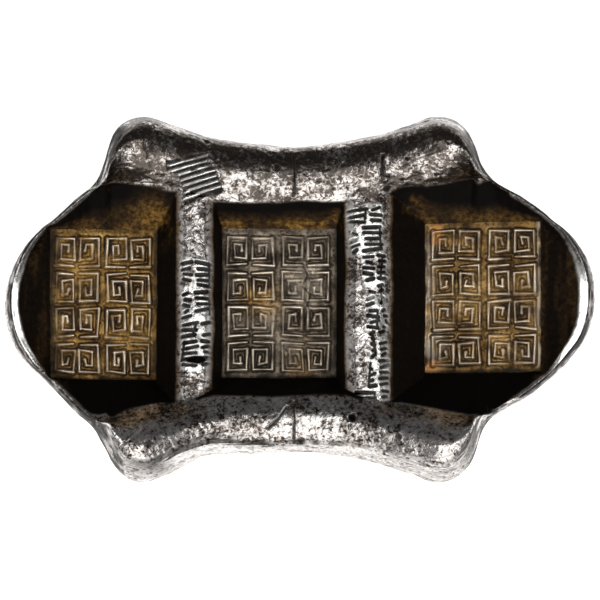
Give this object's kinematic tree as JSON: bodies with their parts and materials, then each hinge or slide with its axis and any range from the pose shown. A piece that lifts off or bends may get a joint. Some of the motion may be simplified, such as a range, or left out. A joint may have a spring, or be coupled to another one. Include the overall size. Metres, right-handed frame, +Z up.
{
  "type": "saddle-shaped silver ingot",
  "caption": "Cast silver ingot shaped like a saddle, with rounded side rails ending in horns, cross bars, sunk struck panels, thin rims round the ends and a flat foot to rest on.",
  "frame": {"origin": "middle of the bounding box in plan, on the plane of the foot", "axes": "+X along the length towards the wider cross bar, +Y across towards the rear rail, +Z up out of the struck face"},
  "size_m": [0.066, 0.0412, 0.0153],
  "materials": {
    "handled_silver": "cast silver, rubbed bright on the crests, grey in the hollows, pitted",
    "tarnished_silver": "struck silver with brown and golden tarnish"
  },
  "bodies": {
    "root": {"saddle_hull": "handled_silver", "rear_rail": "handled_silver", "front_rail": "handled_silver", "left_rim": "handled_silver", "right_rim": "handled_silver", "left_bar": "handled_silver", "right_bar": "handled_silver", "left_panel": "tarnished_silver", "middle_panel": "tarnished_silver", "right_panel": "tarnished_silver"}
  },
  "joints": []
}
